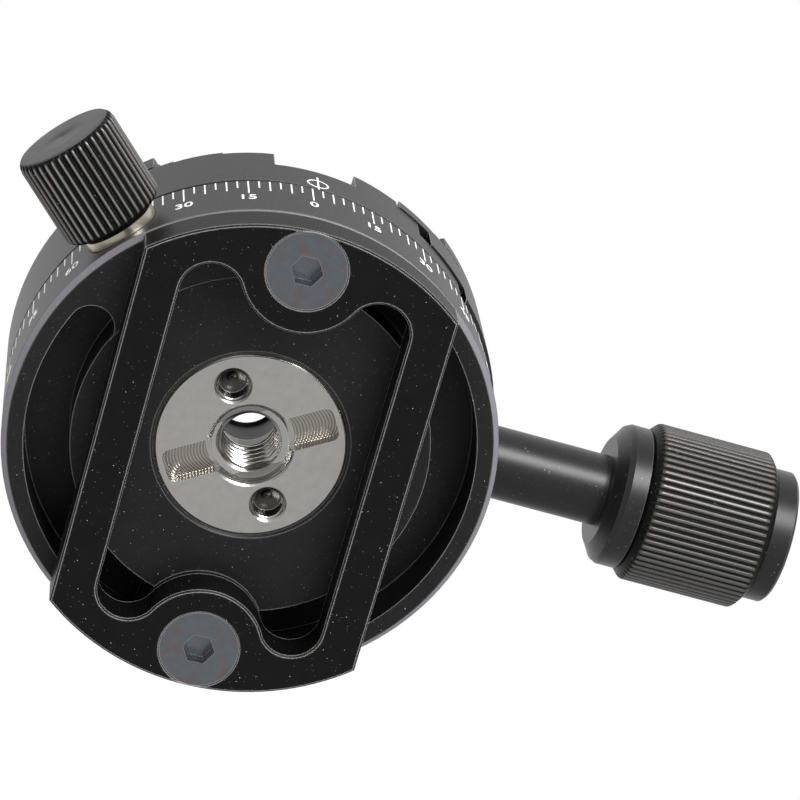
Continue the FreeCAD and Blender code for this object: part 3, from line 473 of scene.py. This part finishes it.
def ring_faces(rows, columns):
    """Quads of a grid that closes both ways, as a ring does."""
    row, column = np.meshgrid(np.arange(rows), np.arange(columns), indexing="ij")
    below, after = (row + 1) % rows, (column + 1) % columns
    here, under = row * columns, below * columns
    corners = (here + column, here + after, under + after, under + column)
    return np.stack(corners, axis=-1).reshape(-1, 4)


def along_axis(radius, angle, place, origin, direction):
    """Points at a radius and an angle about an axis, at a place along it, all in metres."""
    heading = Vector(direction).normalized()
    side = heading.orthogonal().normalized()
    other = heading.cross(side)
    side, other, heading = (np.array(v) for v in (side, other, heading))
    points = np.array(origin) + place[..., None] * heading
    points = points + (radius * np.cos(angle))[..., None] * side
    return points + (radius * np.sin(angle))[..., None] * other


def full_turn(count):
    """Evenly spaced angles round one turn, without the last one, which is the first again."""
    return np.linspace(0, math.tau, count, endpoint=False)


print("grid helpers ready")

# %% [markdown]
# Both knobs are turned on a lathe first and knurled after, so a ridge ends in a point where its grooves run
# out on the chamfer. Ridges could be separate bars, or cut with booleans, but the ends would then be wrong or
# the mesh untidy. One formula gives them: the radius is the smaller of the turned one and the grooved one.

# %% Knurling
ROW_STEP = 0.45
CREST_BAND = 0.12
CREST_FALL = 2.2


def turned_outline(corners):
    """Places and radii along a turned outline of straight runs, with a row about every step."""
    spots = np.array(corners, float)
    rows = []
    for a, b in zip(spots, spots[1:]):
        count = max(1, int(np.linalg.norm(b - a) / ROW_STEP + 0.5))
        rows.append(a + (b - a) * np.arange(count)[:, None] / count)
    rows.append(spots[-1:])
    line = np.concatenate(rows)
    return line[:, 0], line[:, 1]


def knurled(name, corners, barrel, ridges, per_ridge, depth, land, roundness, origin, direction, **kind):
    """A turned knob with straight ridges, closed through its inner corners.

    The grooved radius is the barrel's radius minus the depth times the groove shape: 1 in the middle of a
    groove, falling to 0 at the ridge's flat land. The crest value is 1 on the land, for the finish.
    """
    place, radius = turned_outline(corners)
    angle = full_turn(ridges * per_ridge)
    from_groove = np.abs((angle * ridges / math.tau) % 1.0 - 0.5) * 2
    valley = np.clip(1 - from_groove / (1 - land), 0.0, 1.0) ** roundness
    r = np.minimum(radius[:, None], (barrel - depth * valley)[None, :])
    on_barrel = radius[:, None] > barrel - CREST_BAND
    crest = on_barrel * np.clip(1 - valley * CREST_FALL, 0.0, 1.0)[None, :]
    p = np.repeat(place[:, None], len(angle), axis=1)
    a = np.repeat(angle[None, :], len(place), axis=0)
    points = along_axis(r * MM, a, p * MM, origin, direction)
    return add_mesh(name, points, ring_faces(*r.shape), crest=crest, **kind)


print("knurling ready")

# %% [markdown]
# The clamp knob is the large grip on the side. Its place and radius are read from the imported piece, so that
# the new knob stands exactly where the plain one does. Its outline runs from the neck at the collar, over the
# long chamfer and the barrel, to the seat of the end cap, and back through the bore.

# %% Knurled clamp knob
clamp_low, clamp_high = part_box("clamp_knob")
clamp_axis = (0.0, 0.0, (clamp_low[2] + clamp_high[2]) / 2)
KNOB_START, KNOB_END = clamp_low[0] / MM, clamp_high[0] / MM
GRIP_R = (clamp_high[2] - clamp_low[2]) / 2 / MM
KNOB_BORE_R, NECK_R, TAIL_R = 3.05, 10.1, 10.3
PLUG_R, PLUG_DEPTH = 8.05, 1.5
knob_corners = [
    (KNOB_START + 0.02, KNOB_BORE_R),
    (KNOB_START + 0.02, NECK_R),
    (KNOB_START + 0.30, NECK_R + 0.05),
    (KNOB_START + 0.30, 10.5),
    (KNOB_START + 0.95, 11.15),
    (KNOB_START + 1.30, 11.50),
    (KNOB_START + 1.55, 11.74),
    (KNOB_START + 1.80, GRIP_R),
    (KNOB_END - 1.35, GRIP_R),
    (KNOB_END - 1.10, GRIP_R - 0.20),
    (KNOB_END - 0.75, GRIP_R - 0.60),
    (KNOB_END, TAIL_R),
    (KNOB_END, PLUG_R),
    (KNOB_END - PLUG_DEPTH, PLUG_R),
    (KNOB_END - PLUG_DEPTH, KNOB_BORE_R),
]
clamp_knob = knurled(
    "clamp_knob_knurled", knob_corners, GRIP_R,
    ridges=68, per_ridge=12, depth=0.52, land=0.36, roundness=0.75,
    origin=clamp_axis, direction=(1, 0, 0), material=knob_black, body="clamp", slot="knob_black",
)
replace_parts(clamp_knob, "clamp_knob")
print("knob from", round(KNOB_START, 2), "to", round(KNOB_END, 2), "radius", round(GRIP_R, 2))

# %% [markdown]
# The pan lock's knob is small and coarsely fluted, with a smooth grey cap let into its end. It uses the same
# formula with fewer, sharper ridges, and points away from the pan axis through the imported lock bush.

# %% Fluted lock knob
LOCK_AZIMUTH = math.radians(47.1)
lock_direction = (-math.sin(LOCK_AZIMUTH), -math.cos(LOCK_AZIMUTH), 0.0)
lock_low, lock_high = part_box("lock_bush")
lock_origin = (0.0, 0.0, (lock_low[2] + lock_high[2]) / 2)
LOCK_START, LOCK_END, LOCK_R = 36.96, 50.38, 7.5
LOCK_BORE_R, CAP_PLUG_R, CAP_PLUG_DEPTH = 2.55, 5.25, 3.6
lock_corners = [
    (LOCK_START, LOCK_BORE_R),
    (LOCK_START, LOCK_R - 0.75),
    (LOCK_START + 0.35, LOCK_R - 0.35),
    (LOCK_START + 0.8, LOCK_R),
    (LOCK_END - 1.1, LOCK_R),
    (LOCK_END - 0.6, LOCK_R - 0.10),
    (LOCK_END - 0.25, LOCK_R - 0.28),
    (LOCK_END, LOCK_R - 0.50),
    (LOCK_END, CAP_PLUG_R),
    (LOCK_END - CAP_PLUG_DEPTH, CAP_PLUG_R),
    (LOCK_END - CAP_PLUG_DEPTH, LOCK_BORE_R),
]
lock_knob = knurled(
    "lock_knob_fluted", lock_corners, LOCK_R,
    ridges=41, per_ridge=14, depth=0.60, land=0.14, roundness=0.55,
    origin=lock_origin, direction=lock_direction, material=lock_black, body="lock", slot="knob_black",
)
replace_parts(lock_knob, "lock_knob")
print("lock knob from", LOCK_START, "to", LOCK_END)

# %% [markdown]
# The lock knob's cap is a thin grey disc with a rounded edge. A cylinder with a Bevel modifier would do too,
# but the outline is so short that a solid of revolution says it in a few numbers.

# %% Lock knob cap
CAP_R, CAP_FOOT, CAP_TOP = LOCK_R - 0.60, LOCK_END - 0.1, LOCK_END + 0.22
CAP_ROUND, CAP_ROUND_ROWS = 0.20, 9
PIN_R = 0.01
PLAIN_TURN = 120


def lock_cap():
    """The cap: foot, rounded edge and top, turned about the lock's axis.

    The rounded edge is a quarter circle: its height follows the sine and its radius the cosine. A wall with
    the radius of a pin closes the middle.
    """
    edge = np.linspace(0, math.pi / 2, CAP_ROUND_ROWS)
    rise = CAP_TOP - CAP_ROUND + CAP_ROUND * np.sin(edge)
    place = np.concatenate([[CAP_FOOT, CAP_FOOT], rise, [CAP_TOP, CAP_TOP]])
    radius = np.concatenate([[PIN_R, CAP_R], CAP_R - CAP_ROUND * (1 - np.cos(edge)), [CAP_R / 2, PIN_R]])
    angle = full_turn(PLAIN_TURN)
    r, a = np.meshgrid(radius, angle, indexing="ij")
    p = np.repeat(place[:, None], len(angle), axis=1)
    points = along_axis(r * MM, a, p * MM, lock_origin, lock_direction)
    return add_mesh("lock_cap_rounded", points, ring_faces(*r.shape), cap_grey, "lock", "cap_grey")


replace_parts(lock_cap(), "lock_knob_cap")
print("cap radius", CAP_R)

# %% [markdown]
# The bush has a 3/8-16 tripod thread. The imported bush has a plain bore, which fits a screw but looks empty.
# A Screw modifier could make the thread, but its ends stay open. Here the bore's wall is one grid: its radius
# at a height and an angle follows a triangle wave of the height minus the turn, and fades out at both ends.

# %% Tripod thread
THREAD_R, THREAD_PITCH, THREAD_DEPTH = 4.7625, 1.5875, 0.80
THREAD_LOW, THREAD_END, SLEEVE_HIGH = 8.2, 18.4, 21.3
ROWS_PER_TURN = 18
CONE_R, CONE_LOW, CONE_DEPTH = 5.95, 7.3, 2.0
CONE_CUT, CONE_WAVE = 0.55, 0.25
INTO_WALL, SLEEVE_BACK = 0.02, 0.06


def soft_step(value, low, high):
    """0 below low, 1 above high, and a smooth rise between."""
    t = np.clip((value - low) / (high - low), 0.0, 1.0)
    return t * t * (3 - 2 * t)


def tripod_thread():
    """A closed sleeve in the bore: an inner wall with the spiral ridge and an outer wall in the metal.

    The ridge is a clipped triangle wave that is 1 where the height matches the turn. In the cone at the
    bore's mouth the wall follows the cone, and the ridge only just stands out of it.
    """
    heights = np.arange(THREAD_LOW, SLEEVE_HIGH, THREAD_PITCH / ROWS_PER_TURN)
    z, a = np.meshgrid(heights, full_turn(PLAIN_TURN), indexing="ij")
    phase = (z / THREAD_PITCH - a / math.tau) % 1.0
    ridge = np.clip(1.25 - np.abs(phase - 0.5) * 2.9, 0.0, 1.0)
    ridge = ridge * (1 - soft_step(z, THREAD_END - 0.5, THREAD_END)) + 0.05
    cone = np.clip(CONE_R - (z - CONE_LOW) * (CONE_R - THREAD_R) / CONE_DEPTH, THREAD_R, None)
    r = np.maximum(THREAD_R - THREAD_DEPTH * ridge, cone - CONE_CUT - CONE_WAVE * ridge)
    r = np.minimum(r, cone + INTO_WALL)
    fade = soft_step(z, THREAD_LOW, THREAD_LOW + 0.3)
    r = (cone + INTO_WALL) * (1 - fade) + r * fade
    r = np.concatenate([r, cone[::-1] + SLEEVE_BACK])
    z = np.concatenate([z, z[::-1]])
    a = np.concatenate([a, a])
    points = along_axis(r * MM, a, z * MM, (0.0, 0.0, 0.0), (0, 0, 1))
    add_mesh("tripod_thread_ridge", points, ring_faces(*r.shape), stainless, "base", "stainless")


tripod_thread()
print("thread turns:", round((THREAD_END - THREAD_LOW) / THREAD_PITCH, 1))

# %% [markdown]
# The degree scale is burnt white into the base's wall. It could be a picture on the wall, but then it would
# blur close up. Each mark is a thin patch instead that stands a hair above the wall. The base stands turned
# by a small angle at rest, because the photograph shows the index a little past zero.

# %% Degree ticks
DISC_R = 35.0
SCALE_TOP = 19.39
PROUD, SUNK = 0.015, -0.05
REST_TURN = math.radians(1.6)
TICK_WIDTH = 0.21
LONG_TICK, MIDDLE_TICK, SHORT_TICK = 5.3, 4.05, 2.85
BOX_FACES = np.array([(0, 1, 3, 2), (4, 6, 7, 5), (0, 4, 5, 1), (2, 3, 7, 6), (0, 2, 6, 4), (1, 5, 7, 3)])


def wall_point(angle, height, radius):
    """A point on the wall: the angle runs from the index mark towards the clamp knob, in radians."""
    return np.stack([radius * np.sin(angle), -radius * np.cos(angle), height], axis=-1)


def wall_marks(name, angles, bottoms, tops, width, body):
    """One mesh of thin upright marks on the wall, each a box of eight corners."""
    half = width / 2 / DISC_R
    corners = []
    for radius in (DISC_R + PROUD, DISC_R + SUNK):
        for side in (-half, half):
            for height in (bottoms, tops):
                corners.append(wall_point(angles + side, height, radius))
    points = np.stack(corners, axis=1) * MM
    faces = (np.arange(len(angles))[:, None, None] * 8 + BOX_FACES[None]).reshape(-1, 4)
    add_mesh(name, points, faces, scale_white, body, "bearing_plastic", smooth=False)


def degree_ticks():
    """Short ticks every 2.5 degrees, middle ones every 5 and long ones every 15."""
    degrees = np.arange(0, 360, 2.5)
    length = np.where(degrees % 5 == 0, MIDDLE_TICK, SHORT_TICK)
    length = np.where(degrees % 15 == 0, LONG_TICK, length)
    tops = np.full(len(degrees), SCALE_TOP)
    wall_marks("degree_ticks", np.radians(degrees) - REST_TURN, tops - length, tops, TICK_WIDTH, "base")
    return len(degrees)


print("ticks:", degree_ticks())

# %% [markdown]
# The numbers stand under the long ticks, from 0 to 90 both ways and down again behind. Blender's own text
# object shapes them. It is made a mesh, its flat x becomes an angle on the wall, and its y a height, which
# bends each number round the cylinder without a modifier.

# %% Scale numbers
NUMBER_TOP, NUMBER_SIZE, NUMBER_WEIGHT = 13.35, 2.75, 0.03
NUMBER_STEP = 15


def wrapped_text(words, angle):
    """Points and faces of a number laid on the wall, centred on an angle."""
    curve = bpy.data.curves.new("number", "FONT")
    curve.body = words
    curve.size = NUMBER_SIZE
    curve.align_x = "CENTER"
    curve.extrude = curve.offset = NUMBER_WEIGHT
    curve.resolution_u = 3
    source = bpy.data.objects.new("number", curve)
    bpy.context.scene.collection.objects.link(source)
    bpy.context.view_layer.update()
    mesh = bpy.data.meshes.new_from_object(source)
    flat = np.empty(len(mesh.vertices) * 3)
    mesh.vertices.foreach_get("co", flat)
    x, y, z = flat.reshape(-1, 3).T
    x = x - (x.max() + x.min()) / 2
    radius = DISC_R + np.where(z > 0, PROUD, SUNK)
    points = wall_point(angle + x / DISC_R, NUMBER_TOP + (y - y.max()), radius) * MM
    faces = [tuple(p.vertices) for p in mesh.polygons]
    bpy.data.objects.remove(source)
    bpy.data.meshes.remove(mesh)
    bpy.data.curves.remove(curve)
    return points, faces


def scale_numbers():
    """All numbers as one mesh, rising both ways from zero to ninety and falling again behind."""
    points, faces, count = [], [], 0
    for degrees in range(0, 360, NUMBER_STEP):
        shown = 90 - abs(degrees % 180 - 90)
        made, loops = wrapped_text(str(shown), math.radians(degrees) - REST_TURN)
        points.append(made)
        faces.extend(tuple(count + v for v in loop) for loop in loops)
        count += len(made)
    mesh = bpy.data.meshes.new("scale_numbers")
    mesh.from_pydata(np.concatenate(points).tolist(), [], faces)
    mesh.materials.append(scale_white)
    piece = bpy.data.objects.new("scale_numbers", mesh)
    bpy.context.scene.collection.objects.link(piece)
    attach(piece, "base")
    return len(points)


print("numbers:", scale_numbers())

# %% [markdown]
# The index on the turning head is a circle with a line through it. It rides on the head, so it moves along
# the scale as the head turns. A bent torus could be the circle, but it would stand out too far. Four rings of
# points laid on the wall, joined into one closed strip, follow the wall's curve exactly.

# %% Index mark
INDEX_LOW, INDEX_HIGH, INDEX_WIDTH = 20.05, 25.4, 0.26
CIRCLE_HEIGHT, CIRCLE_INNER, CIRCLE_OUTER = 22.4, 1.37, 1.63
CIRCLE_TURN = 48


def index_mark():
    """The line, and the circle as four rings: inner and outer, above the wall and below it."""
    low, high = np.array([INDEX_LOW]), np.array([INDEX_HIGH])
    wall_marks("index_line", np.zeros(1), low, high, INDEX_WIDTH, "head")
    around = full_turn(CIRCLE_TURN)
    rings = ((CIRCLE_INNER, PROUD), (CIRCLE_OUTER, PROUD), (CIRCLE_OUTER, SUNK), (CIRCLE_INNER, SUNK))
    rows = []
    for reach, lift in rings:
        height = CIRCLE_HEIGHT + reach * np.sin(around)
        rows.append(wall_point(reach * np.cos(around) / DISC_R, height, DISC_R + lift))
    points = np.stack(rows) * MM
    faces = ring_faces(*points.shape[:2])
    add_mesh("index_circle", points, faces, scale_white, "head", "bearing_plastic", smooth=False)


index_mark()
print("index mark made")

# %% [markdown]
# The photograph looks up at the head from below, through a long lens. Such a camera could be aimed at a
# target by hand, but its roll and its small tilt matter here. Its place, its heading and its right-hand side
# were fitted to circles of known size in the photograph, and are given as they are.

# %% Camera
CAMERA_AT = Vector((-73.190, -194.086, -521.206)) * MM
CAMERA_AHEAD = Vector((0.161457, 0.321109, 0.933178))
CAMERA_RIGHT = Vector((0.952806, -0.297048, -0.062638))
LENS_MM, SENSOR_MM = 181.49, 36.0
FARTHEST_SEEN = 10.0


def make_camera():
    """A long lens at the photograph's place, rolled so that the zero mark is up."""
    data = bpy.data.cameras.new("camera")
    data.lens = LENS_MM
    data.sensor_width = SENSOR_MM
    data.clip_end = FARTHEST_SEEN
    camera = bpy.data.objects.new("camera", data)
    bpy.context.scene.collection.objects.link(camera)
    back = -CAMERA_AHEAD.normalized()
    right = (CAMERA_RIGHT - back * CAMERA_RIGHT.dot(back)).normalized()
    turn = Matrix((right, back.cross(right), back)).transposed().to_4x4()
    camera.matrix_world = Matrix.Translation(CAMERA_AT) @ turn
    bpy.context.scene.camera = camera


make_camera()
print("camera distance:", round(CAMERA_AT.length / MM), "mm")

# %% [markdown]
# The head stands on a pale floor. An ordinary plane would hide it in the photograph's view, which looks up
# from under the floor, so this one is clear from below and the same floor serves every view. It shows in no
# reflection and casts no shadow, so the lamps below it still reach the head.

# %% Floor
FLOOR_REACH, FLOOR_DROP, FLOOR_WHITE = 3.0, 0.0001, (0.85, 0.85, 0.85, 1.0)


def pale_floor():
    """A wide pale square that only the camera sees, and only from above."""
    signs = [(-1, -1), (1, -1), (1, 1), (-1, 1)]
    corners = [(FLOOR_REACH * x, FLOOR_REACH * y, -FLOOR_DROP) for x, y in signs]
    mesh = bpy.data.meshes.new("floor")
    mesh.from_pydata(corners, [], [(0, 1, 2, 3)])
    floor = bpy.data.objects.new("floor", mesh)
    bpy.context.scene.collection.objects.link(floor)
    f = new_finish("floor")
    behind = f.node("ShaderNodeNewGeometry", output="Backfacing")
    white = f.node("ShaderNodeBsdfDiffuse", {}, {"Color": FLOOR_WHITE})
    clear = f.node("ShaderNodeBsdfTransparent")
    surface = f.node("ShaderNodeMixShader", {}, {0: behind, 1: white, 2: clear})
    f.node("ShaderNodeOutputMaterial", {}, {"Surface": surface})
    mesh.materials.append(f.owner)
    for ray in ("diffuse", "glossy", "transmission", "shadow"):
        setattr(floor, f"visible_{ray}", False)


pale_floor()
print("floor made")

# %% [markdown]
# Black metal shows what it reflects more than its own colour. In a photographer's tent that is white cloth
# overhead and a darker room below. The world plays that tent for reflections only: it is white to the camera
# and through glass, and an even soft light on matt faces.

# %% White world
TENT_FOOT, TENT_TOP = 0.05, 0.80
WHITE = (1.0, 1.0, 1.0, 1.0)


def white_world(even, low_shine):
    """A strength for each kind of ray: the largest of the ones that apply to it.

    A camera ray and a transmission ray see 1, a diffuse ray sees the even light, and a glossy ray sees the
    tent, which rises from the low shine at the horizon to 1 overhead.
    """
    world = bpy.data.worlds.new("world")
    bpy.context.scene.world = world
    f = Finish(world)
    seen, shine, through, dull = (
        f.node("ShaderNodeLightPath", output=f"Is {kind} Ray")
        for kind in ("Camera", "Glossy", "Transmission", "Diffuse")
    )
    height = f.split(f.node("ShaderNodeTexCoord", output="Generated"))[2]
    tent = height.spread(TENT_FOOT, TENT_TOP, low_shine, 1.0)
    strength = seen.larger(shine * tent).larger(through).larger(dull * even)
    light = f.node("ShaderNodeBackground", {}, {"Color": WHITE, "Strength": strength})
    f.node("ShaderNodeOutputWorld", {}, {"Surface": light})


white_world(even=0.6, low_shine=0.44)
print("world made")

# %% [markdown]
# Five soft square lamps light the head from all round. One lamp would be simpler, but the faces turned away
# from it would be lost. A lamp shows in smooth black metal as a hard white square, so four of them are left
# out of reflections, and only the key lamp shows in the metal.

# %% Lamps
LAMP_AIM = Vector((0.01, 0.0, 0.02))
LAMPS = [
    # name, place in metres, size in metres, watts, whether its reflection shows
    ("lamp_below_right", (0.45, -0.25, -0.55), 0.5, 5, False),
    ("lamp_below_left", (-0.6, 0.3, -0.45), 0.5, 3, False),
    ("lamp_key", (0.13, -0.66, -0.44), 0.35, 6, True),
    ("lamp_front", (0.1, -0.8, 0.25), 0.6, 3, False),
    ("lamp_above", (-0.2, 0.2, 0.8), 0.7, 5, False),
]


def area_lamp(name, at, size, watts, shines):
    """A soft square lamp that looks at the head, with or without its own reflection."""
    data = bpy.data.lights.new(name, "AREA")
    data.shape = "SQUARE"
    data.size = size
    data.energy = watts
    lamp = bpy.data.objects.new(name, data)
    bpy.context.scene.collection.objects.link(lamp)
    lamp.location = at
    lamp.rotation_euler = (LAMP_AIM - Vector(at)).to_track_quat("-Z", "Y").to_euler()
    lamp.visible_glossy = shines


for lamp_row in LAMPS:
    area_lamp(*lamp_row)
bpy.context.scene.view_settings.view_transform = "Standard"
print("lamps:", len(LAMPS))
